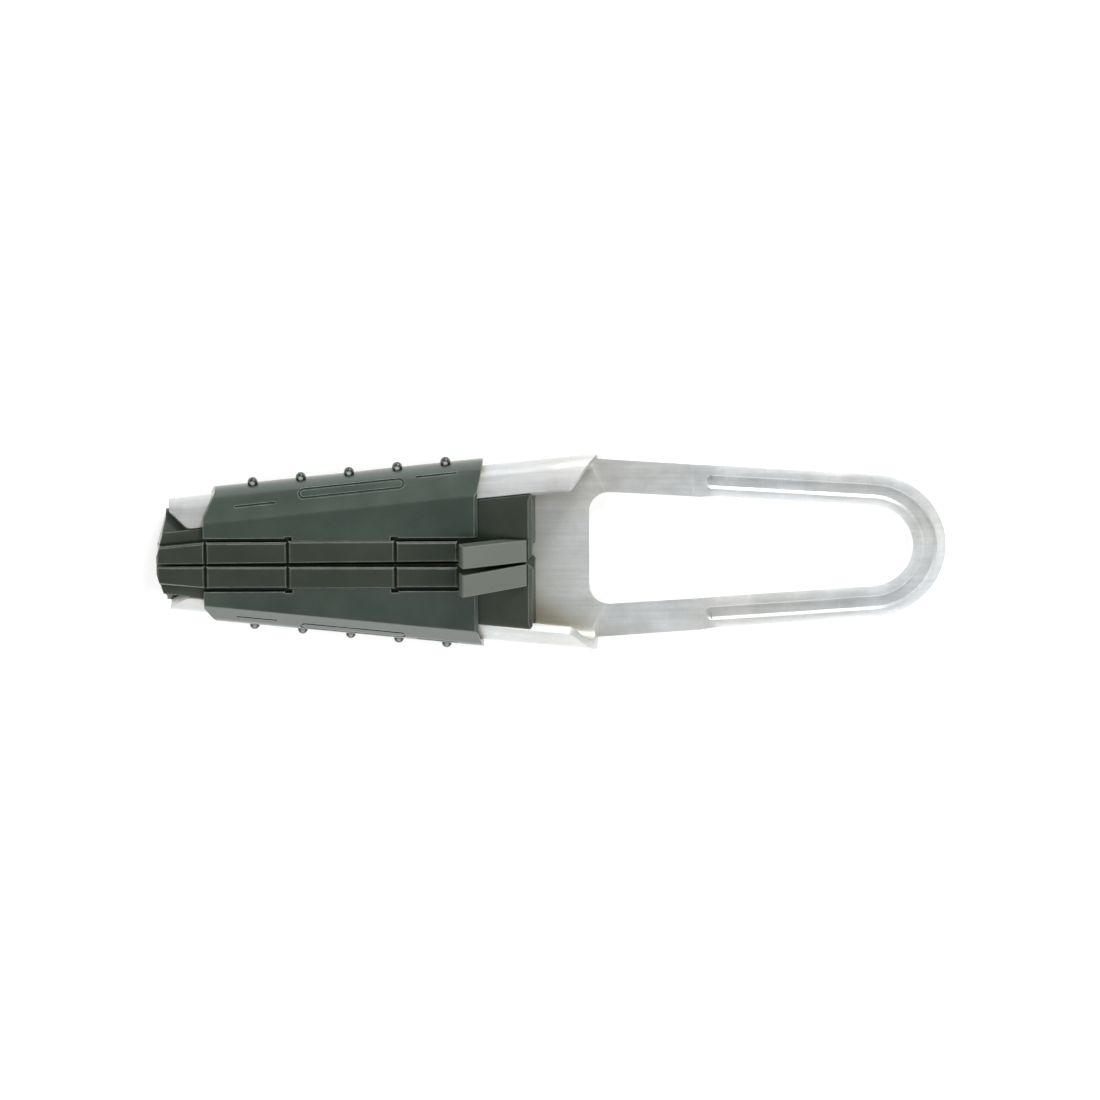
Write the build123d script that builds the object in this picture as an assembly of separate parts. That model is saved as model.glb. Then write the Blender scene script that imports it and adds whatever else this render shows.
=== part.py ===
from build123d import *
import os
from math import acos, atan2, cos, hypot, radians, sin, tan

# Wedge-type strain clamp for overhead cable. One folded aluminium sheet makes the channel and the bail,
# and two moulded wedges slide in the channel. Each wedge is a jaw with a slider cover over the flange.
# Frame, in mm: origin at the centre of the bail's eye, on the underside of the sheet, +X away from the
# cable, +Z out of the open side of the channel. "Left" pieces lie at +Y and "right" ones mirror them.

# Sheet and bail
sheet = 3.5  # thickness of the aluminium
eye_radius = 17.4  # inside of the eye
eye_band = 13.1  # width of the band round the eye
throat_distance = 112.5  # from the eye's centre to the throat, where the flanges end
window_past_throat = 0.5  # the window's square end, past the throat
window_half_width = 24.4  # at that square end
window_corner = 8.0
arm_half_width = 38.4  # outside of the arms at the throat
arm_blend = 5.0  # run over which the arms grow out of the channel's floor

# Pressed part of the bail: it lies lower than the flat arms and carries a bead with a trough in it
ramp_start = 44.8  # past the throat
ramp_end = 52.8  # past the throat
drop = 1.2  # of the pressed part below the flat arms
crest_rise = 1.4  # rise of the bead's crests over its edges
crest_place = 3.0  # distance of each crest from the bead's middle
trough_half_width = 2.0
trough_rise = 0.3  # rise of the trough over the bead's edges
trough_start = 49.6  # centre of the trough's rounded ends, past the throat

# Tapered channel
taper = 6.1  # degrees between each flange and the X axis
throat_half_width = 41.0  # outermost part of the flanges at the throat
channel_length = 167.0  # from the throat to the cable end
fold_radius = 7.5  # outside of the fold
lean = 50.0  # degrees that the flanges lean in from upright
flange_height = 18.6  # top of the flanges' free edges
flange_end_in = 8.0  # free corner, back from the throat
flange_end_out = 3.6  # root of the flange's end, past the throat
flange_bevel = 6.8  # bevel on the flange's corner at the cable end
flange_round = 3.0

# Fits
slide_gap = 0.35  # between the jaws and the sheet
cover_gap = 0.5  # between the covers and the flanges
parting_gap = 0.9  # between the two jaws

# Jaws
jaw_top = 19.1
jaw_start = 171.9  # cable end of the jaws, back from the throat
jaw_end = 20.6  # bail end of the jaws, back from the throat
nose_slant = 3.7  # how far the sides of the cable end stand back from its middle
nose_slant_from = 3.6  # distance of that slant's start from the middle plane
nose_slant_to = 17.0
shoulder_share = 0.8  # share of the flange's edge that the shoulder covers
shoulder_bevel = 2.6
end_bevel = 1.5
end_draft = 1.8  # how far the bail end leans back up to its bevel
mouth_bevel_x = 2.5
mouth_bevel_y = 3.7
cable_axis_height = 11.4
groove_radius = 4.8  # to the roots of the teeth
tooth_height = 0.9
tooth_pitch = 10.0
tooth_share = 0.7  # share of each tooth that slopes outwards
flare_radius = 6.6
flare_length = 4.0

# Rail of blocks on top of each jaw, beside the parting
rail_top = 21.5
rail_half_width = 9.7
clip_half_width = 10.2  # the block that the cover's tongue meets
nose_half_width = 7.8
rail_spread = 0.8  # how much further apart the rails stand at their bail end
rail_bevel = 0.6
block_gap = 0.7
nose_block = 19.1
front_block = 32.1
clip_block = 42.2
back_block = 24.3

# Thumb tab of each jaw
tab_length = 25.4
tab_rise = 21.9  # degrees
tab_thickness = 4.0
tab_base = 20.0  # height of the tab's low end
tab_setback = 4.0  # low end, back from the jaw's end
tab_inner = 0.6
tab_width = 9.2
tab_splay = 2.0  # degrees
tab_bevel = 0.5

# Slider covers
cover_top = 21.0
cover_wall = 2.4
lip_angle = 32.0  # degrees that the lip reaches round under the fold
cover_start = 153.2  # back from the throat
cover_end = 41.7
cover_inner = 11.4  # inner edge, from the middle plane
crease_round = 2.0
corner_x = 4.6  # bevel on the cover's corner at the cable end
corner_y = 8.5
end_slant = 2.3  # how far the bail end stands back inside the fold
end_slant_y = 9.0
cover_bevel = 1.3
seat_notch = 3.0
seat_notch_depth = 0.6
pip_count = 5
pip_pitch = 19.2
pip_radius = 1.9
pip_rise = 2.6
pip_bevel = 1.1
pip_first = 133.1  # back from the throat
panel_length = 42.5
panel_width = 4.6
panel_line = 0.8
panel_depth = 0.35
side_line = 16.5

throat_x = -throat_distance
eye_outside = eye_radius + eye_band
band_middle = eye_radius + eye_band / 2
ramp_from = throat_x + ramp_start
ramp_to = throat_x + ramp_end
flange_length = (flange_height - fold_radius * (1 + sin(radians(lean)))) / cos(radians(lean))
along = Vector(cos(radians(taper)), sin(radians(taper)), 0)
outward = Vector(-sin(radians(taper)), cos(radians(taper)), 0)
off_flange = outward * cos(radians(lean)) + Vector(0, 0, sin(radians(lean)))
# Section plane across the flange: local x is the distance outward from its outermost line, local y is height.
fold_section = Plane(origin=(throat_x, throat_half_width, 0), x_dir=outward, z_dir=along)
margin = 30.0  # how far blanks and cutters run past what they shape


def fold_point(angle, radius):
    """Point of the fold's section, at an angle above level and a radius from the fold's centre."""
    turn = radians(angle)
    return Vector(radius * cos(turn) - fold_radius, radius * sin(turn) + fold_radius)


def up_slope(point, distance):
    """The point moved up along the flange in the section plane."""
    return point + Vector(-sin(radians(lean)), cos(radians(lean))) * distance


def off_slope(point, distance):
    """The point moved square off the flange in the section plane."""
    return point + Vector(cos(radians(lean)), sin(radians(lean))) * distance


def closed_face(*edges):
    """Face inside a run of edges, closed by a straight line if its ends differ."""
    start = edges[0] @ 0
    end = edges[-1] @ 1
    if (end - start).length > 0.001:
        edges = (*edges, Line(end, start))
    return make_face([single for edge in edges for single in edge.edges()])


def polygon(*points):
    return make_face(Polyline(*points, close=True))


def along_channel(section):
    """The section run along the whole flange and past both ends."""
    blank = fold_section * Pos(0, 0, -channel_length - 2 * margin) * section
    return extrude(blank, channel_length + 3 * margin, dir=along)


def block(x_from, x_to, y_from, y_to, z_from, z_to):
    centre = Pos((x_from + x_to) / 2, (y_from + y_to) / 2, (z_from + z_to) / 2)
    return centre * Box(x_to - x_from, y_to - y_from, z_to - z_from)


def from_throat(distance):
    """X of a place given as a distance from the throat towards the cable end."""
    return throat_x - distance


def fold_root(x):
    """Half-width of the channel's flat floor at x."""
    turn = radians(taper)
    return throat_half_width + (x - throat_x) * tan(turn) - fold_radius / cos(turn)


def tangent_point(point, radius):
    """Where the line from the point touches the circle about the eye's centre, on the +Y side."""
    x, y = point
    turn = atan2(y, x) - acos(radius / hypot(x, y))
    return (radius * cos(turn), radius * sin(turn))


def u_shape(points, radius):
    """Edges along the +Y points, round the eye and back along their mirror."""
    upper = [*points, tangent_point(points[-1], radius)]
    lower = [(x, -y) for x, y in reversed(upper)]
    return [Polyline(*upper), ThreePointArc(upper[-1], (radius, 0), lower[0]), Polyline(*lower)]


# ---------------------------------------------------------------- clamp body


def line_height(point, radius, x):
    """Height at x of the line from the point to where it touches the eye's circle."""
    touch = tangent_point(point, radius)
    share = (x - point[0]) / (touch[0] - point[0])
    return point[1] + share * (touch[1] - point[1])


def arm_sides(x):
    """Inner and outer half-width of the bail's arms at x."""
    inner = line_height((throat_x + window_past_throat, window_half_width), eye_radius, x)
    outer = line_height((throat_x, arm_half_width), eye_outside, x)
    return inner, outer


def mirrored_outline(points):
    """Face inside the +Y points and their mirror."""
    return polygon(*points, *[(x, -y) for x, y in reversed(points)])


def body_plate():
    """Channel floor and the flat part of the arms, a fork open towards the eye."""
    inner, outer = arm_sides(ramp_from)
    x_end = from_throat(channel_length)
    root_x = throat_x - arm_blend
    outside = [(x_end, fold_root(x_end)), (root_x, fold_root(root_x)), (throat_x, arm_half_width), (ramp_from, outer)]
    window = mirrored_outline([(throat_x + window_past_throat, window_half_width), (ramp_from, inner)])
    corners = window.vertices().sort_by(Axis.X)[:2]
    return extrude(mirrored_outline(outside) - fillet(corners, window_corner), sheet)


def flange_section():
    outer = fold_point(lean, fold_radius)
    inner = fold_point(lean, fold_radius - sheet)
    floor = Vector(-fold_radius - sheet, 0)
    return closed_face(
        Line(floor, fold_point(-90, fold_radius)),
        ThreePointArc(fold_point(-90, fold_radius), fold_point(0, fold_radius), outer),
        Polyline(outer, up_slope(outer, flange_length), up_slope(inner, flange_length), inner),
        ThreePointArc(inner, fold_point(0, fold_radius - sheet), fold_point(-90, fold_radius - sheet)),
        Line(fold_point(-90, fold_radius - sheet), floor + Vector(0, sheet)),
    )


def slope_plane():
    """Plane on the flange's outside: local x runs along the flange, local y up it from the fold."""
    foot = fold_point(lean, fold_radius)
    origin = Vector(throat_x, throat_half_width, 0) + outward * foot.X + Vector(0, 0, foot.Y)
    return Plane(origin=origin, x_dir=along, z_dir=-off_flange)


def flange_outline():
    """The flange's developed outline, with its bevelled and slanted ends."""
    start = -channel_length / cos(radians(taper))
    widest = -fold_radius * sin(radians(lean))
    face = polygon(
        (start, -margin),
        (start, 0),
        (start + flange_bevel, flange_length),
        (-flange_end_in, flange_length),
        (flange_end_out, widest),
        (flange_end_out, -margin),
    )
    free_corners = [v for v in face.vertices() if v.Y > flange_length - 0.01]
    return fillet(free_corners, flange_round)


def flange():
    outline = slope_plane() * flange_outline()
    ends = extrude(outline, margin, both=True)
    return along_channel(flange_section()) & ends


def band_start():
    """Middle of the arm where the pressed part starts."""
    inner, outer = arm_sides(ramp_to)
    return (ramp_to, (outer + inner) / 2)


def run_round(face, start):
    """The section run from a point on the +Y arm round the eye to its mirror."""
    path = Wire([single for edge in u_shape([start], band_middle) for single in edge.edges()])
    heading = path % 0
    across = Vector(0, 0, 1).cross(heading)
    return sweep(Plane(origin=path @ 0, x_dir=across, z_dir=heading) * face, path)


def trough():
    """Cutter for the trough between the crests, with a rounded end on each arm."""
    floor = sheet - drop + trough_rise
    slope = (crest_place - trough_half_width) / (crest_rise - trough_rise)
    top = floor + crest_rise
    wide = trough_half_width + slope * crest_rise
    face = polygon((-trough_half_width, floor), (trough_half_width, floor), (wide, top), (-wide, top))
    inner, outer = arm_sides(throat_x + trough_start)
    start = (throat_x + trough_start, (outer + inner) / 2)
    half = face & Pos(margin / 2, 0) * Rectangle(margin, 2 * margin)
    end = revolve(Plane(origin=(*start, 0), x_dir=(0, 1, 0), z_dir=(1, 0, 0)) * half, Axis((*start, 0), (0, 0, 1)), 180)
    return [run_round(face, start), end, mirror(end, Plane.XZ)]


def band_face():
    """Section of the pressed band: edges low, and the sheet raised between them."""
    edge = eye_band / 2
    low = -drop
    high = low + crest_rise
    return polygon(
        (-edge, low),
        (-crest_place, high),
        (crest_place, high),
        (edge, low),
        (edge, low + sheet),
        (crest_place, high + sheet),
        (-crest_place, high + sheet),
        (-edge, low + sheet),
    )


def ramp():
    """Stretch in which the flat arm turns into the pressed band."""
    inner, outer = arm_sides(ramp_from)
    middle = (inner + outer) / 2
    flat = [
        (inner, 0),
        (middle - crest_place, 0),
        (middle + crest_place, 0),
        (outer, 0),
        (outer, sheet),
        (middle + crest_place, sheet),
        (middle - crest_place, sheet),
        (inner, sheet),
    ]
    flat_face = Plane(origin=(ramp_from, 0, 0), x_dir=(0, 1, 0), z_dir=(1, 0, 0)) * polygon(*flat)
    start = band_start()
    touch = tangent_point(start, band_middle)
    heading = (Vector(*touch) - Vector(*start)).normalized()
    across = Vector(0, 0, 1).cross(heading)
    pressed = Plane(origin=start, x_dir=across, z_dir=heading) * band_face()
    return loft([flat_face, pressed], ruled=True)


def clamp_body():
    body = body_plate()
    side = flange()
    slope = ramp()
    for piece in (side, mirror(side, Plane.XZ), slope, mirror(slope, Plane.XZ), run_round(band_face(), band_start())):
        body = body + piece
    for cutter in trough():
        body = body - cutter
    return body


# ---------------------------------------------------------------- jaws


def jaw_section():
    reach = fold_radius - sheet - slide_gap
    floor = fold_point(-90, reach)
    fold_end = fold_point(lean, reach)
    edge_foot = up_slope(fold_end, flange_length + slide_gap)
    edge_top = off_slope(edge_foot, slide_gap + sheet * shoulder_share)
    deck = Vector(edge_top.X - shoulder_bevel, jaw_top)
    middle = -throat_half_width - margin
    return closed_face(
        Line((middle, floor.Y), floor),
        ThreePointArc(floor, fold_point(0, reach), fold_end),
        Polyline(fold_end, edge_foot, edge_top, deck, (middle, jaw_top)),
    )


def cable_groove():
    """Round passage between the jaws, with ring teeth and a flare at each end."""
    x_from = from_throat(jaw_start)
    x_to = from_throat(jaw_end)
    crest = groove_radius - tooth_height
    teeth = int((x_to - x_from - 2 * flare_length) / tooth_pitch)
    first = x_from + (x_to - x_from - teeth * tooth_pitch) / 2
    points = [(x_from - margin, 0), (x_from - margin, flare_radius), (x_from, flare_radius)]
    for tooth in range(teeth):
        x = first + tooth * tooth_pitch
        points.append((x, crest))
        points.append((x + tooth_pitch * tooth_share, groove_radius))
    points.append((first + teeth * tooth_pitch, crest))
    points.extend([(x_to, flare_radius), (x_to + margin, flare_radius), (x_to + margin, 0)])
    profile = Plane.XZ * polygon(*points)
    return Pos(0, 0, cable_axis_height) * revolve(profile, Axis.X)


def rail_inner(x):
    """Distance of the rail from the middle plane, growing towards the bail."""
    x_from = from_throat(jaw_start)
    run = nose_block + front_block + clip_block + back_block + 3 * block_gap
    return parting_gap / 2 + rail_spread * (x - x_from) / run


def rail_block(x_from, x_to, y_from, y_to):
    outline = polygon(
        (x_from, rail_inner(x_from)),
        (x_to, rail_inner(x_to)),
        (x_to, y_to),
        (x_from, y_from),
    )
    root = jaw_top - rail_bevel
    bar = Pos(0, 0, root) * extrude(outline, rail_top - root)
    return chamfer(bar.edges().group_by(Axis.Z)[-1], rail_bevel)


def rail():
    """The row of blocks, from the nose to the thumb tab."""
    blocks = [
        (nose_block, nose_half_width, rail_half_width),
        (front_block, rail_half_width, rail_half_width),
        (clip_block, clip_half_width, clip_half_width),
        (back_block, rail_half_width, rail_half_width),
    ]
    x = from_throat(jaw_start)
    solids = []
    for length, y_from, y_to in blocks:
        solids.append(rail_block(x, x + length, y_from, y_to))
        x += length + block_gap
    return solids


def thumb_tab():
    """Sloping tongue that rises towards the cable end, joined to the jaw at its low end."""
    low_x = from_throat(jaw_end + tab_setback)
    rise = radians(tab_rise)
    low = Vector(low_x, tab_base)
    high = low + Vector(-cos(rise), sin(rise)) * (tab_length / cos(rise))
    under = high + Vector(-sin(rise), -cos(rise)) * tab_thickness
    root_run = (under.Y - jaw_top) / tan(rise)
    side = polygon(
        low,
        high,
        under,
        (under.X + root_run, jaw_top),
        (under.X + root_run, jaw_top - rail_bevel),
        (low_x, jaw_top - rail_bevel),
    )
    swing = tan(radians(tab_splay))
    far_x = low_x - 2 * tab_length
    plan = polygon(
        (low_x, tab_inner),
        (far_x, tab_inner + 2 * tab_length * swing),
        (far_x, tab_inner + tab_width + 2 * tab_length * swing),
        (low_x, tab_inner + tab_width),
    )
    tongue = extrude(Plane.XZ * side, -2 * rail_half_width) & extrude(plan, 2 * rail_top)
    tip = tongue.edges().filter_by(lambda e: abs(e.center().Z - high.Y) < 0.01)
    return chamfer(tip, tab_bevel)


def jaw_side():
    """Side view of the jaw's base, with the leaning and bevelled bail end."""
    x_from = from_throat(jaw_start)
    x_to = from_throat(jaw_end)
    top_x = x_to - end_draft
    return polygon((x_from, 0), (x_to, 0), (top_x, jaw_top - end_bevel), (top_x - end_bevel, jaw_top), (x_from, jaw_top))


def nose_cut():
    """Plan of what the slanted side of the cable end loses."""
    x = from_throat(jaw_start)
    return polygon(
        (x - margin, nose_slant_from),
        (x, nose_slant_from),
        (x + nose_slant, nose_slant_to),
        (x + nose_slant, throat_half_width),
        (x - margin, throat_half_width),
    )


def jaw():
    x_to = from_throat(jaw_end)
    base = Pos(0, parting_gap / 2, 0) * extrude(Plane.XZ * jaw_side(), -throat_half_width)
    solid = along_channel(jaw_section()) & base
    mouth = polygon(
        (x_to - end_draft - mouth_bevel_x, 0),
        (x_to + margin, 0),
        (x_to + margin, mouth_bevel_y + parting_gap / 2),
        (x_to, mouth_bevel_y + parting_gap / 2),
        (x_to - end_draft - mouth_bevel_x, parting_gap / 2),
    )
    solid = solid - extrude(mouth, rail_top)
    for bar in rail():
        solid = solid + bar
    solid = solid + thumb_tab()
    return solid - extrude(nose_cut(), rail_top) - cable_groove()


# ---------------------------------------------------------------- slider covers


def cover_skin(inner_radius, outer_radius, under, top, crease):
    """Section of a wall that wraps the flange between two radii and closes over its free edge."""
    inner_lip = fold_point(-lip_angle, inner_radius)
    outer_lip = fold_point(-lip_angle, outer_radius)
    inner_slope = fold_point(lean, inner_radius)
    outer_slope = fold_point(lean, outer_radius)
    cosine = cos(radians(lean))
    inner_crease = up_slope(inner_slope, (under - inner_slope.Y) / cosine)
    outer_crease = up_slope(outer_slope, (top - outer_slope.Y) / cosine)
    middle = -throat_half_width - margin
    face = closed_face(
        ThreePointArc(inner_lip, fold_point(0, inner_radius), inner_slope),
        Polyline(inner_slope, inner_crease, (middle, under), (middle, top), outer_crease, outer_slope),
        ThreePointArc(outer_slope, fold_point(0, outer_radius), outer_lip),
        Line(outer_lip, inner_lip),
    )
    bends = face.vertices().filter_by(lambda v: (Vector(v.X, v.Y) - outer_crease).length < 0.01)
    return fillet(bends, crease)


def cover_plan():
    """Outline of the cover from above: its tongue and notches inside, its bevelled ends outside."""
    x_from = from_throat(cover_start)
    x_to = from_throat(cover_end)
    tongue_from = from_throat(jaw_start) + nose_block + front_block + 2 * block_gap
    tongue_to = tongue_from + clip_block
    half = seat_notch / 2
    deep = cover_inner + seat_notch_depth
    y_from = throat_half_width + (x_from - throat_x) * tan(radians(taper)) + cover_gap + cover_wall
    y_to = throat_half_width + (x_to - throat_x) * tan(radians(taper)) + cover_gap + cover_wall
    return polygon(
        (x_from, cover_inner),
        (tongue_from - half, cover_inner),
        (tongue_from - half, deep),
        (tongue_from + half, deep),
        (tongue_from + half, clip_half_width),
        (tongue_to - half, clip_half_width),
        (tongue_to - half, deep),
        (tongue_to + half, deep),
        (tongue_to + half, cover_inner),
        (x_to - end_slant, cover_inner),
        (x_to - end_slant, y_to - end_slant_y),
        (x_to, y_to),
        (x_to, y_to + margin),
        (x_from + corner_x, y_to + margin),
        (x_from + corner_x, y_from),
        (x_from, y_from - corner_y),
    )


def panel_lines():
    """Shallow outline and two lines moulded in the outside of the cover."""
    middle_x = pip_first - (pip_count - 1) / 2 * pip_pitch
    ring = SlotOverall(panel_length, panel_width)
    ring = ring - SlotOverall(panel_length - 2 * panel_line, panel_width - 2 * panel_line)
    line = SlotOverall(side_line, panel_line)
    away = panel_length / 2 + side_line / 2 + 2 * panel_width
    places = [(ring, 0, -0.3), (line, -away, panel_width / 2), (line, away - panel_width, -panel_width / 2)]
    marks = [Pos(x - middle_x, y) * mark for mark, x, y in places]
    outside = fold_radius + cover_gap + cover_wall
    skin = cover_skin(outside - panel_depth, outside + 1, cover_top - panel_depth, cover_top + 1, crease_round)
    wall = along_channel(skin)
    return [wall & extrude(slope_plane() * mark, -margin) for mark in marks]


def pips():
    outside = fold_section * Pos(cover_gap + cover_wall, fold_radius, 0)
    button = Rot(0, 90, 0) * Cylinder(pip_radius, 2 * pip_rise)
    button = chamfer(button.edges().sort_by(Axis.X)[-1:], pip_bevel)
    solids = []
    for number in range(pip_count):
        away = (pip_first - number * pip_pitch) / cos(radians(taper))
        solids.append(outside * Pos(0, 0, -away) * button)
    return solids


def slider_cover():
    inside = fold_radius + cover_gap
    section = cover_skin(inside, inside + cover_wall, jaw_top, cover_top, crease_round)
    cover = along_channel(section) & extrude(cover_plan(), cover_top)
    bevel_x = from_throat(cover_end) - end_slant - cover_bevel
    bevel = polygon((bevel_x, cover_top), (bevel_x + margin, cover_top - margin), (bevel_x + margin, cover_top))
    cover = cover - extrude(Plane.XZ * bevel, -throat_half_width - margin)
    for cutter in panel_lines():
        cover = cover - cutter
    for pip in pips():
        cover = cover + pip
    return cover


def write(name, shape):
    export_step(shape, f"parts/{name}.step")


os.makedirs("parts", exist_ok=True)
left_jaw = jaw()
left_cover = slider_cover()
write("clamp_body", clamp_body())
write("jaw_left", left_jaw)
write("jaw_right", mirror(left_jaw, Plane.XZ))
write("slider_cover_left", left_cover)
write("slider_cover_right", mirror(left_cover, Plane.XZ))
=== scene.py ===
from math import cos, radians, sin, tan

import bmesh
import bpy
from mathutils import Matrix, Vector

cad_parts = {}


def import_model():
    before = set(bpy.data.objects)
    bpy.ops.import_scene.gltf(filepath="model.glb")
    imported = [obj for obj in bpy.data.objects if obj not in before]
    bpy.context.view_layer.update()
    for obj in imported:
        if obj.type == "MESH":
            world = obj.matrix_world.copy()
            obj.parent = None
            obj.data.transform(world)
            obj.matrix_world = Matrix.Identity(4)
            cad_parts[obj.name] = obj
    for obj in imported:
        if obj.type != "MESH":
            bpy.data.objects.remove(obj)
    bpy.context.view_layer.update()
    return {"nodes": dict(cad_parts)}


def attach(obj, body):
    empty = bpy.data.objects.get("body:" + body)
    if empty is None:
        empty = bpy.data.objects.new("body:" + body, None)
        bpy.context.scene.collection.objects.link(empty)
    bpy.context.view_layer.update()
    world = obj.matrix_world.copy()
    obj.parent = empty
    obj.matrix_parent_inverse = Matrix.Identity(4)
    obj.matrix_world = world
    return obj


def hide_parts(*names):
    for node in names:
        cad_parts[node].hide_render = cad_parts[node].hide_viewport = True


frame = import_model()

MM = 0.001
TAPER = radians(6.1)
nodes = frame["nodes"]

# ---------------------------------------------------------------- node helpers


def new_material(name):
    """An empty node material: returns it, its tree's nodes and links, and its shader."""
    material = bpy.data.materials.new(name)
    material.use_nodes = True
    tree = material.node_tree
    shader = tree.nodes["Principled BSDF"]
    return material, tree.nodes, tree.links, shader


def object_space(tree_nodes, links, scale):
    """Object coordinates stretched by the three scales."""
    place = tree_nodes.new("ShaderNodeTexCoord")
    mapping = tree_nodes.new("ShaderNodeMapping")
    mapping.inputs["Scale"].default_value = scale
    links.new(place.outputs["Object"], mapping.inputs["Vector"])
    return mapping.outputs["Vector"]


def noise(tree_nodes, links, vector, scale, detail, roughness=0.5):
    texture = tree_nodes.new("ShaderNodeTexNoise")
    texture.inputs["Scale"].default_value = scale
    texture.inputs["Detail"].default_value = detail
    texture.inputs["Roughness"].default_value = roughness
    links.new(vector, texture.inputs["Vector"])
    return texture.outputs["Fac"]


def ramp(tree_nodes, links, value, low, high, dark, light):
    """Colour that goes from dark to light as the value goes from low to high."""
    node = tree_nodes.new("ShaderNodeValToRGB")
    node.color_ramp.elements[0].position = low
    node.color_ramp.elements[1].position = high
    node.color_ramp.elements[0].color = (*dark, 1)
    node.color_ramp.elements[1].color = (*light, 1)
    links.new(value, node.inputs["Fac"])
    return node.outputs["Color"]


def span(tree_nodes, links, value, low, high, to_low, to_high):
    node = tree_nodes.new("ShaderNodeMapRange")
    node.inputs["From Min"].default_value = low
    node.inputs["From Max"].default_value = high
    node.inputs["To Min"].default_value = to_low
    node.inputs["To Max"].default_value = to_high
    links.new(value, node.inputs["Value"])
    return node.outputs["Result"]


def mix(tree_nodes, links, share, first, second, blend="MIX"):
    node = tree_nodes.new("ShaderNodeMix")
    node.data_type = "RGBA"
    node.blend_type = blend
    inputs = {"Factor": node.inputs[0], "A": node.inputs[6], "B": node.inputs[7]}
    for name, value in (("Factor", share), ("A", first), ("B", second)):
        if isinstance(value, bpy.types.NodeSocket):
            links.new(value, inputs[name])
        elif name == "Factor":
            inputs[name].default_value = value
        else:
            inputs[name].default_value = (*value, 1)
    return node.outputs[2]


def edge_mask(tree_nodes, links, radius, low, high):
    """One along the rounded edges and nought on flat ground."""
    bevel = tree_nodes.new("ShaderNodeBevel")
    bevel.samples = 6
    bevel.inputs["Radius"].default_value = radius
    ground = tree_nodes.new("ShaderNodeNewGeometry")
    dot = tree_nodes.new("ShaderNodeVectorMath")
    dot.operation = "DOT_PRODUCT"
    links.new(bevel.outputs["Normal"], dot.inputs[0])
    links.new(ground.outputs["Normal"], dot.inputs[1])
    return span(tree_nodes, links, dot.outputs["Value"], low, high, 1.0, 0.0)


def bump(tree_nodes, links, shader, height, strength, distance):
    node = tree_nodes.new("ShaderNodeBump")
    node.inputs["Strength"].default_value = strength
    node.inputs["Distance"].default_value = distance
    links.new(height, node.inputs["Height"])
    links.new(node.outputs["Normal"], shader.inputs["Normal"])


def add(tree_nodes, links, first, second, share):
    """The first value plus a share of the second."""
    node = tree_nodes.new("ShaderNodeMath")
    node.operation = "MULTIPLY_ADD"
    node.inputs[1].default_value = share
    links.new(second, node.inputs[0])
    links.new(first, node.inputs[2])
    return node.outputs["Value"]


# ---------------------------------------------------------------- materials


WHITE = (1.0, 1.0, 1.0)

# Where the sheet's painted light and shade change, from and to: a lighter gradient along X, brown shade in
# the channel's recesses, and shade on the flanges, mostly the left.
PAINTED_LIGHT_X = (-125 * MM, -85 * MM)
CHANNEL_ENDS_X = (-112 * MM, -104 * MM)
FLANGES_FROM_Z = (4 * MM, 9 * MM)
MIDDLE_Y = (-1 * MM, 1 * MM)
CHANNEL_REACH = 16 * MM
RIGHT_FLANGE_SHARE = 0.12

# The thumb tabs, which get a painted sheen: above this height, and on the eye's side of this place.
TAB_ABOVE = (19.5 * MM, 20.0 * MM)
TAB_FROM_X = (-164.0 * MM, -163.5 * MM)


def openness(tree_nodes, links, distance, low, high):
    """One in the open and nought deep in grooves and gaps."""
    node = tree_nodes.new("ShaderNodeAmbientOcclusion")
    node.samples = 12
    node.inputs["Distance"].default_value = distance
    return span(tree_nodes, links, node.outputs["AO"], low, high, 0.0, 1.0)


def combined(tree_nodes, links, operation, first, second):
    """Two values put through one maths node."""
    node = tree_nodes.new("ShaderNodeMath")
    node.operation = operation
    links.new(first, node.inputs[0])
    links.new(second, node.inputs[1])
    return node.outputs["Value"]


def times(tree_nodes, links, first, second):
    return combined(tree_nodes, links, "MULTIPLY", first, second)


def larger(tree_nodes, links, first, second):
    return combined(tree_nodes, links, "MAXIMUM", first, second)


def axes(tree_nodes, links, vector):
    """The vector's X, Y and Z."""
    parts = tree_nodes.new("ShaderNodeSeparateXYZ")
    links.new(vector, parts.inputs["Vector"])
    return parts.outputs


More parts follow.
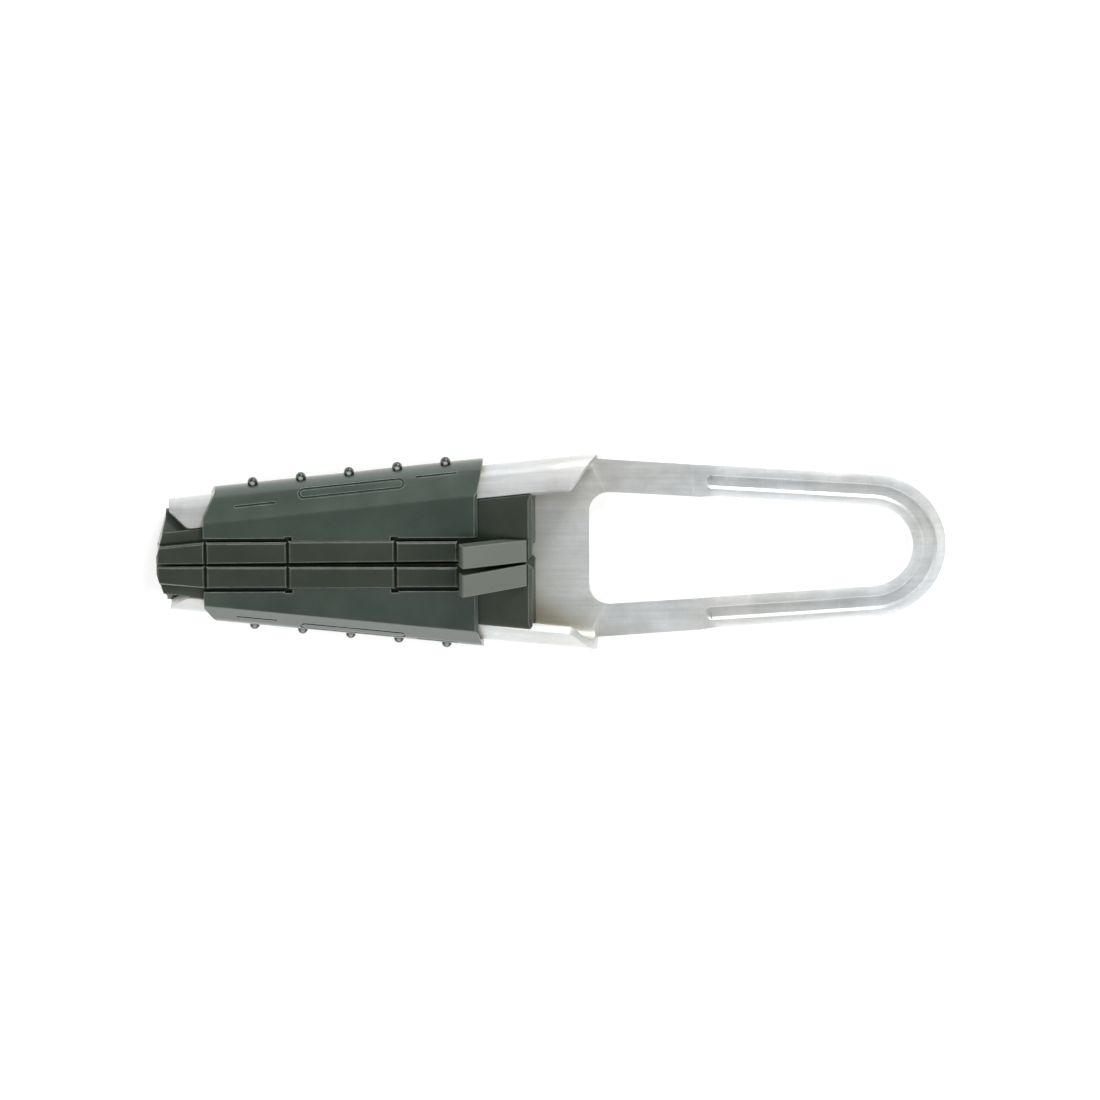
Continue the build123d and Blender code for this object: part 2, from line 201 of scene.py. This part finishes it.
def mill_aluminium():
    """Rolled sheet: rolling grain along the clamp, cloudy oxide and scuffs.

    Painted light also changes its tone by place: a painted light gradient, lighter from the throat to the
    eye; brown painted shade in the channel's recesses; painted shade on the left flange; and a painted
    highlight on the flanges' rounded edges.
    """
    material, tree_nodes, links, shader = new_material("mill_aluminium")
    plain = object_space(tree_nodes, links, (1, 1, 1))
    grain = noise(tree_nodes, links, object_space(tree_nodes, links, (25, 700, 700)), 1.0, 4.0, 0.6)
    clouds = noise(tree_nodes, links, plain, 75.0, 6.0, 0.68)
    drift = noise(tree_nodes, links, plain, 24.0, 2.0)
    scuffs = noise(tree_nodes, links, object_space(tree_nodes, links, (520, 110, 150)), 1.0, 6.0, 0.75)
    base = ramp(tree_nodes, links, grain, 0.3, 0.7, (0.60, 0.61, 0.605), (0.69, 0.70, 0.695))
    cloudy = ramp(tree_nodes, links, clouds, 0.35, 0.68, (0.83, 0.83, 0.815), WHITE)
    tint = ramp(tree_nodes, links, drift, 0.35, 0.65, (1.0, 0.99, 0.965), (0.955, 0.975, 1.0))
    scuffed = ramp(tree_nodes, links, scuffs, 0.58, 0.72, WHITE, (1.14, 1.14, 1.14))
    where = axes(tree_nodes, links, plain)
    # Painted light: darker near the throat and lighter towards the eye.
    painted_light_share = span(tree_nodes, links, where["X"], *PAINTED_LIGHT_X, 0.0, 1.0)
    painted_light_tone = ramp(tree_nodes, links, painted_light_share, 0.0, 1.0, (0.93, 0.93, 0.92), (1.19, 1.195, 1.21))
    # Painted shade: brown darkening where the channel's walls close in, up to its ends along X.
    walled = openness(tree_nodes, links, CHANNEL_REACH, 0.35, 0.85)
    beyond = span(tree_nodes, links, where["X"], *CHANNEL_ENDS_X, 0.0, 1.0)
    clear = larger(tree_nodes, links, walled, beyond)
    painted_recess_shade = ramp(tree_nodes, links, clear, 0.0, 1.0, (0.76, 0.71, 0.60), WHITE)
    # Painted shade: the left flange is painted darker; the right flange takes only a small share of it.
    raised = span(tree_nodes, links, where["Z"], *FLANGES_FROM_Z, 0.0, 1.0)
    left_share = span(tree_nodes, links, where["Y"], *MIDDLE_Y, RIGHT_FLANGE_SHARE, 1.0)
    left_side = times(tree_nodes, links, raised, left_share)
    left_flange_painted_shade = ramp(tree_nodes, links, left_side, 0.0, 1.0, WHITE, (0.78, 0.78, 0.80))
    colour = base
    for layer in (cloudy, scuffed, tint, painted_light_tone, painted_recess_shade, left_flange_painted_shade):
        colour = mix(tree_nodes, links, 1.0, colour, layer, "MULTIPLY")
    # Painted highlight: paler colour on the flanges' rounded edges.
    rounded = times(tree_nodes, links, rounded_edges(tree_nodes, links), raised)
    painted_edge_highlight = times(tree_nodes, links, rounded, span(tree_nodes, links, clouds, 0.4, 0.6, 0.4, 1.0))
    links.new(mix(tree_nodes, links, painted_edge_highlight, colour, (0.92, 0.92, 0.92)), shader.inputs["Base Color"])
    links.new(span(tree_nodes, links, clouds, 0.3, 0.7, 0.44, 0.66), shader.inputs["Roughness"])
    shader.inputs["Metallic"].default_value = 0.6
    bump(tree_nodes, links, shader, add(tree_nodes, links, grain, scuffs, 0.8), 0.30, 0.00006)
    return material


def rounded_edges(tree_nodes, links):
    """One on the faces that round a sharp outer edge."""
    node = tree_nodes.new("ShaderNodeAttribute")
    node.attribute_name = "rounded"
    return node.outputs["Fac"]


def facing_up(tree_nodes, links, low, high):
    """One where the piece's own surface faces up, nought on its slopes."""
    ground = tree_nodes.new("ShaderNodeTexCoord")
    upward = axes(tree_nodes, links, ground.outputs["Normal"])["Z"]
    return span(tree_nodes, links, upward, low, high, 0.0, 1.0)


def moulded_plastic(name, dark, light, edge, rough_low, rough_high, tabs=False, domed=False):
    """Glass-filled nylon: spark-eroded grain, slow colour drift, a painted highlight along the outer edges,
    painted shade in recesses, grooves and gaps.

    With tabs the thumb tabs get a painted sheen in a lighter colour; domed puts a painted highlight on what
    faces up in place of the edges.
    """
    material, tree_nodes, links, shader = new_material(name)
    plain = object_space(tree_nodes, links, (1, 1, 1))
    drift = noise(tree_nodes, links, plain, 38.0, 4.0)
    fibres = noise(tree_nodes, links, object_space(tree_nodes, links, (300, 900, 900)), 1.0, 4.0, 0.65)
    grain = noise(tree_nodes, links, plain, 2600.0, 2.0)
    patches = noise(tree_nodes, links, plain, 160.0, 5.0, 0.7)
    colour = ramp(tree_nodes, links, add(tree_nodes, links, drift, fibres, 0.25), 0.45, 0.8, dark, light)
    if tabs:
        # Painted sheen: the thumb tabs' tops are painted in a lighter colour.
        where = axes(tree_nodes, links, plain)
        above = span(tree_nodes, links, where["Z"], *TAB_ABOVE, 0.0, 1.0)
        along = span(tree_nodes, links, where["X"], *TAB_FROM_X, 0.0, 1.0)
        patchy = span(tree_nodes, links, drift, 0.3, 0.7, 0.75, 1.0)
        tab_sheen_share = times(tree_nodes, links, times(tree_nodes, links, above, along), patchy)
        painted_light_tone = tuple(0.55 * plain_tone + 0.45 * pale_tone for plain_tone, pale_tone in zip(light, edge))
        colour = mix(tree_nodes, links, tab_sheen_share, colour, painted_light_tone)
    # Painted shade: the colour is darkened towards a dark tone in recesses and in narrow grooves and gaps.
    deep = tuple(0.3 * channel for channel in dark)
    painted_recess_shade = openness(tree_nodes, links, 0.007, 0.25, 0.75)
    clear = openness(tree_nodes, links, 0.0014, 0.50, 0.97)
    # Painted highlight: a patchy pale colour along the convex outer edges.
    convex = openness(tree_nodes, links, 0.0010, 0.90, 0.99)
    beside = times(tree_nodes, links, edge_mask(tree_nodes, links, 0.0008, 0.90, 0.995), convex)
    on_edge = times(tree_nodes, links, rounded_edges(tree_nodes, links), convex)
    edge_highlight_mask = larger(tree_nodes, links, beside, on_edge)
    painted_highlight_mask = times(tree_nodes, links, edge_highlight_mask, span(tree_nodes, links, patches, 0.35, 0.62, 0.35, 1.0))
    # Painted highlight: what faces up on the pips is painted pale.
    if domed:
        painted_highlight_mask = facing_up(tree_nodes, links, 0.86, 0.97)
    shaded = mix(tree_nodes, links, painted_recess_shade, deep, colour)
    gap_shaded_colour = mix(tree_nodes, links, clear, deep, shaded)
    links.new(mix(tree_nodes, links, painted_highlight_mask, gap_shaded_colour, edge), shader.inputs["Base Color"])
    links.new(span(tree_nodes, links, drift, 0.3, 0.7, rough_low, rough_high), shader.inputs["Roughness"])
    shader.inputs["Specular IOR Level"].default_value = 0.55
    bump(tree_nodes, links, shader, add(tree_nodes, links, grain, fibres, 0.6), 0.3, 0.00004)
    return material


aluminium = mill_aluminium()
# The third colour is the painted edge highlight; on the jaws it also tints the thumb tabs' painted sheen.
jaw_plastic = moulded_plastic(
    "jaw_nylon", (0.017, 0.026, 0.016), (0.031, 0.041, 0.027), (0.20, 0.225, 0.185), 0.36, 0.46, tabs=True
)
cover_plastic = moulded_plastic(
    "cover_nylon", (0.030, 0.047, 0.036), (0.047, 0.068, 0.054), (0.23, 0.27, 0.245), 0.30, 0.42
)
# The pips' third colour is the painted highlight on their tops.
pip_plastic = moulded_plastic(
    "pip_nylon", (0.020, 0.031, 0.025), (0.034, 0.048, 0.040), (0.42, 0.46, 0.43), 0.22, 0.30, domed=True
)

# ---------------------------------------------------------------- pieces from the frame's solids


def sharpen(mesh, angle):
    """Smooth shading everywhere but across edges sharper than the angle."""
    mesh.polygons.foreach_set("use_smooth", [True] * len(mesh.polygons))
    mesh.set_sharp_from_angle(angle=radians(angle))


def bare_copy(node, name):
    """A merged copy of a solid, with its flat faces made whole."""
    mesh = nodes[node].data.copy()
    mesh.name = name
    mesh.materials.clear()
    work = bmesh.new()
    work.from_mesh(mesh)
    bmesh.ops.remove_doubles(work, verts=work.verts, dist=0.000002)
    bmesh.ops.dissolve_limit(work, angle_limit=radians(0.4), verts=work.verts, edges=work.edges)
    work.to_mesh(mesh)
    work.free()
    if mesh.has_custom_normals:
        mesh.attributes.remove(mesh.attributes["custom_normal"])
    piece = bpy.data.objects.new(name, mesh)
    bpy.context.scene.collection.objects.link(piece)
    return piece


def baked(piece):
    """The piece with its modifiers turned into plain mesh."""
    result = bpy.data.meshes.new_from_object(piece.evaluated_get(bpy.context.evaluated_depsgraph_get()))
    piece.modifiers.clear()
    piece.data = result
    return piece


def weigh_edges(mesh, share, wide_share, wide_from):
    """Bevel weights for the sharp outer edges: one share, and another for those past an X."""
    work = bmesh.new()
    work.from_mesh(mesh)
    weight = work.edges.layers.float.new("bevel_weight_edge")
    for edge in work.edges:
        if len(edge.link_faces) == 2 and edge.is_convex and edge.calc_face_angle(0) > radians(28):
            far = min(corner.co.x for corner in edge.verts) > wide_from
            edge[weight] = wide_share if far else share
    work.to_mesh(mesh)
    work.free()


def mark_rounded(mesh):
    """A face value of one where the rounding made the face; the second material slot then goes."""
    slots = [0] * len(mesh.polygons)
    mesh.polygons.foreach_get("material_index", slots)
    mark = mesh.attributes.new("rounded", "FLOAT", "FACE")
    mark.data.foreach_set("value", [float(slot) for slot in slots])
    mesh.polygons.foreach_set("material_index", [0] * len(slots))


def dressed(node, body, material, edge, wide_edge=0.0, wide_from=1.0, flat_faced=True):
    """The solid's finished piece: edges rounded, given its material, riding on its body."""
    piece = bare_copy(node, node + "_skin")
    widest = max(edge, wide_edge)
    weigh_edges(piece.data, edge / widest, wide_edge / widest, wide_from)
    rounding = piece.modifiers.new("edges", "BEVEL")
    rounding.width = widest
    rounding.segments = 2
    rounding.limit_method = "WEIGHT"
    rounding.miter_outer = "MITER_ARC"
    piece.data.materials.append(material)
    piece.data.materials.append(None)
    rounding.material = 1
    bpy.context.view_layer.update()
    baked(piece)
    mark_rounded(piece.data)
    piece.data.materials.clear()
    piece.data.materials.append(material)
    sharpen(piece.data, 38)
    if flat_faced:
        level = piece.modifiers.new("level", "WEIGHTED_NORMAL")
        level.mode = "FACE_AREA"
        level.weight = 100
        level.keep_sharp = True
        bpy.context.view_layer.update()
        baked(piece)
    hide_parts(node)
    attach(piece, body)
    return piece


# ---------------------------------------------------------------- pips on the covers

PIP_COUNT = 5
PIP_PITCH = 19.2 * MM
PIP_FIRST = 133.1 * MM
PIP_RADIUS = 2.08 * MM
PIP_STAND = 0.7 * MM
THROAT_X = -112.5 * MM
THROAT_HALF_WIDTH = 41.0 * MM
FOLD_RADIUS = 7.5 * MM
COVER_THICK = 2.9 * MM  # the cover's wall and its gap to the flange
COVER_EYE_END_X = -156.9 * MM  # on the eye's side of this the covers' edges are rounded more
SHEET_EDGE = 0.35 * MM
JAW_EDGE = 0.2 * MM
COVER_EDGE = 0.22 * MM
COVER_EYE_END_EDGE = 0.8 * MM


def pip_tree():
    """A straight row of small domes: count, pitch along the row, and radius are its inputs."""
    tree = bpy.data.node_groups.new("pip_row", "GeometryNodeTree")
    face = tree.interface
    face.new_socket("Geometry", in_out="OUTPUT", socket_type="NodeSocketGeometry")
    inputs = {"Count": "Int", "First": "Vector", "Step": "Vector", "Radius": "Float", "Finish": "Material"}
    for name, kind in inputs.items():
        face.new_socket(name, in_out="INPUT", socket_type="NodeSocket" + kind)
    start = tree.nodes.new("NodeGroupInput")
    end = tree.nodes.new("NodeGroupOutput")
    row = tree.nodes.new("GeometryNodeMeshLine")
    dome = tree.nodes.new("GeometryNodeMeshUVSphere")
    dome.inputs["Segments"].default_value = 28
    dome.inputs["Rings"].default_value = 14
    place = tree.nodes.new("GeometryNodeInstanceOnPoints")
    real = tree.nodes.new("GeometryNodeRealizeInstances")
    smooth = tree.nodes.new("GeometryNodeSetShadeSmooth")
    finish = tree.nodes.new("GeometryNodeSetMaterial")
    link = tree.links.new
    link(start.outputs["Count"], row.inputs["Count"])
    link(start.outputs["First"], row.inputs["Start Location"])
    link(start.outputs["Step"], row.inputs["Offset"])
    link(start.outputs["Radius"], dome.inputs["Radius"])
    link(row.outputs["Mesh"], place.inputs["Points"])
    link(dome.outputs["Mesh"], place.inputs["Instance"])
    link(place.outputs["Instances"], real.inputs["Geometry"])
    link(real.outputs["Geometry"], smooth.inputs["Geometry"])
    link(smooth.outputs["Geometry"], finish.inputs["Geometry"])
    link(start.outputs["Finish"], finish.inputs["Material"])
    link(finish.outputs["Geometry"], end.inputs["Geometry"])
    return tree


def pip_row(tree, side, sign):
    """Domes over the plain pips of one cover."""
    away = PIP_FIRST / cos(TAPER)
    out = COVER_THICK + PIP_STAND
    first = Vector((
        THROAT_X - away * cos(TAPER) - out * sin(TAPER),
        sign * (THROAT_HALF_WIDTH - away * sin(TAPER) + out * cos(TAPER)),
        FOLD_RADIUS,
    ))
    step = Vector((PIP_PITCH, sign * PIP_PITCH * tan(TAPER), 0))
    mesh = bpy.data.meshes.new(f"pips_{side}")
    piece = bpy.data.objects.new(f"pips_{side}", mesh)
    bpy.context.scene.collection.objects.link(piece)
    maker = piece.modifiers.new("row", "NODES")
    maker.node_group = tree
    values = {"Count": PIP_COUNT, "First": first, "Step": step, "Radius": PIP_RADIUS, "Finish": pip_plastic}
    for item in tree.interface.items_tree:
        if item.in_out == "INPUT":
            maker[item.identifier] = values[item.name]
    bpy.context.view_layer.update()
    baked(piece)
    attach(piece, f"wedge_{side}")


dressed("clamp_body", "body", aluminium, SHEET_EDGE, flat_faced=False)
row_tree = pip_tree()
for side, sign in (("left", 1), ("right", -1)):
    dressed(f"jaw_{side}", f"wedge_{side}", jaw_plastic, JAW_EDGE)
    dressed(
        f"slider_cover_{side}", f"wedge_{side}", cover_plastic,
        COVER_EDGE, COVER_EYE_END_EDGE, COVER_EYE_END_X,
    )
    pip_row(row_tree, side, sign)

# ---------------------------------------------------------------- floor, light and camera

FLOOR_Z = -1.3 * MM
GLOW_SEEN = 0.5
GLOW_MIRRORED = 1.6


def floor():
    mesh = bpy.data.meshes.new("floor")
    reach = 4.0
    corners = [(x * reach, y * reach, FLOOR_Z) for x, y in ((-1, -1), (1, -1), (1, 1), (-1, 1))]
    mesh.from_pydata(corners, [], [(0, 1, 2, 3)])
    piece = bpy.data.objects.new("floor", mesh)
    bpy.context.scene.collection.objects.link(piece)
    material = bpy.data.materials.new("floor_white")
    material.use_nodes = True
    tree = material.node_tree
    tree.nodes.clear()
    out = tree.nodes.new("ShaderNodeOutputMaterial")
    matt = tree.nodes.new("ShaderNodeBsdfDiffuse")
    matt.inputs["Color"].default_value = (0.75, 0.75, 0.75, 1)
    glow = tree.nodes.new("ShaderNodeEmission")
    path = tree.nodes.new("ShaderNodeLightPath")
    for_camera = tree.nodes.new("ShaderNodeMath")
    for_camera.operation = "MULTIPLY"
    for_camera.inputs[1].default_value = GLOW_SEEN
    tree.links.new(path.outputs["Is Camera Ray"], for_camera.inputs[0])
    level = tree.nodes.new("ShaderNodeMath")
    level.operation = "MULTIPLY_ADD"
    level.inputs[1].default_value = GLOW_MIRRORED
    tree.links.new(path.outputs["Is Glossy Ray"], level.inputs[0])
    tree.links.new(for_camera.outputs["Value"], level.inputs[2])
    tree.links.new(level.outputs["Value"], glow.inputs["Strength"])
    both = tree.nodes.new("ShaderNodeAddShader")
    tree.links.new(matt.outputs["BSDF"], both.inputs[0])
    tree.links.new(glow.outputs["Emission"], both.inputs[1])
    tree.links.new(both.outputs["Shader"], out.inputs["Surface"])
    mesh.materials.append(material)


def world(ambient):
    backdrop = bpy.data.worlds.new("studio")
    bpy.context.scene.world = backdrop
    backdrop.use_nodes = True
    tree = backdrop.node_tree
    tree.nodes.clear()
    out = tree.nodes.new("ShaderNodeOutputWorld")
    light = tree.nodes.new("ShaderNodeBackground")
    path = tree.nodes.new("ShaderNodeLightPath")
    level = tree.nodes.new("ShaderNodeMapRange")
    level.inputs["To Min"].default_value = ambient
    level.inputs["To Max"].default_value = 1.0
    tree.links.new(path.outputs["Is Camera Ray"], level.inputs["Value"])
    tree.links.new(level.outputs["Result"], light.inputs["Strength"])
    tree.links.new(light.outputs["Background"], out.inputs["Surface"])


def softbox(name, place, size, power):
    """Area lamp aimed at the middle of the clamp."""
    data = bpy.data.lights.new(name, "AREA")
    data.shape = "RECTANGLE"
    data.size, data.size_y = size
    data.energy = power
    lamp = bpy.data.objects.new(name, data)
    bpy.context.scene.collection.objects.link(lamp)
    aim = Vector((-0.13, 0, 0.01)) - Vector(place)
    lamp.matrix_world = Matrix.Translation(place) @ aim.to_track_quat("-Z", "Y").to_matrix().to_4x4()


floor()
world(0.55)
lamps = {
    "light_key": ((0.45, 1.85, 0.70), (0.5, 0.5), 32),
    "light_near": ((-0.1, -1.9, 0.35), (2.4, 0.5), 16),
    "light_end": ((1.5, -0.8, 1.55), (0.8, 0.8), 12),
    "light_west": ((-1.9, 0.3, 0.9), (1.0, 1.0), 12),
}
for name, (place, size, power) in lamps.items():
    softbox(name, place, size, power)

# Camera: nearly square on, tipped towards the left side and turned end for end.
ELEVATION = radians(69)
ROLL = radians(0.27)
DISTANCE = 4.0
FIELD = 0.44
SENSOR = 36.0
AIM = Vector((-0.1277, -0.0021, 0))

right = Vector((1, 0, 0))
up = Vector((0, sin(ELEVATION), -cos(ELEVATION)))
back = right.cross(up)
turned_right = right * cos(ROLL) - up * sin(ROLL)
turned_up = up * cos(ROLL) + right * sin(ROLL)
lens = bpy.data.cameras.new("camera")
lens.sensor_width = SENSOR
lens.lens = SENSOR * DISTANCE / FIELD
lens.clip_start = 0.1
lens.clip_end = 50
camera = bpy.data.objects.new("camera", lens)
bpy.context.scene.collection.objects.link(camera)
turn = Matrix((turned_right, turned_up, back)).transposed().to_4x4()
camera.matrix_world = Matrix.Translation(AIM + back * DISTANCE) @ turn
bpy.context.scene.camera = camera
bpy.context.scene.view_settings.view_transform = "Standard"
